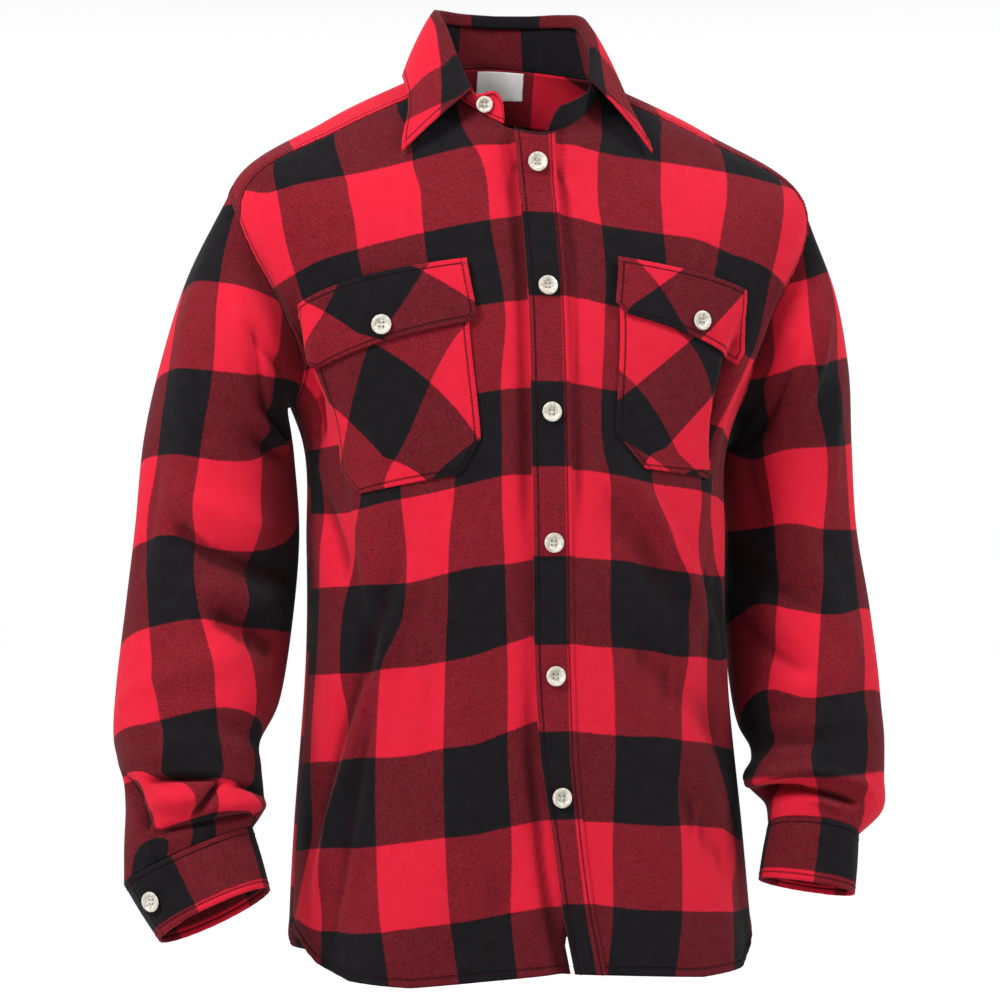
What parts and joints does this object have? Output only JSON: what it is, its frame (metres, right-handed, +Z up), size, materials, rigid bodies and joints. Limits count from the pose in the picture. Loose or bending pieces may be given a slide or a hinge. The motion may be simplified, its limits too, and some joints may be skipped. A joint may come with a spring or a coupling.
{
  "type": "flannel shirt",
  "caption": "Long-sleeved flannel shirt in a large two-colour check, buttoned, hollow as if worn, with a turned-down collar, placket, flapped chest pockets and barrel cuffs.",
  "frame": {"origin": "middle of the neck at the height of the shoulders, where the wearer's shoulders hold the shirt up", "axes": "+Z up, -Y towards the front placket, +X towards the wearer's left sleeve"},
  "size_m": [0.6509, 0.2763, 0.7974],
  "materials": {
    "flannel": "brushed flannel, red and black check",
    "button": "pearly cream, polished",
    "label": "smooth woven tape"
  },
  "bodies": {
    "root": {"back": "flannel", "collar_button": "button", "collar_fall": "flannel", "collar_stand": "flannel", "cuff_button_left": "button", "cuff_button_right": "button", "cuff_left": "flannel", "cuff_right": "flannel", "flap_button_left": "button", "flap_button_right": "button", "flap_left": "flannel", "flap_right": "flannel", "front_button_1": "button", "front_button_2": "button", "front_button_3": "button", "front_button_4": "button", "front_button_5": "button", "front_button_6": "button", "front_left": "flannel", "front_right": "flannel", "neck_label": "label", "placket": "flannel", "pocket_left": "flannel", "pocket_right": "flannel", "sleeve_left": "flannel", "sleeve_right": "flannel", "yoke": "flannel"}
  },
  "joints": []
}
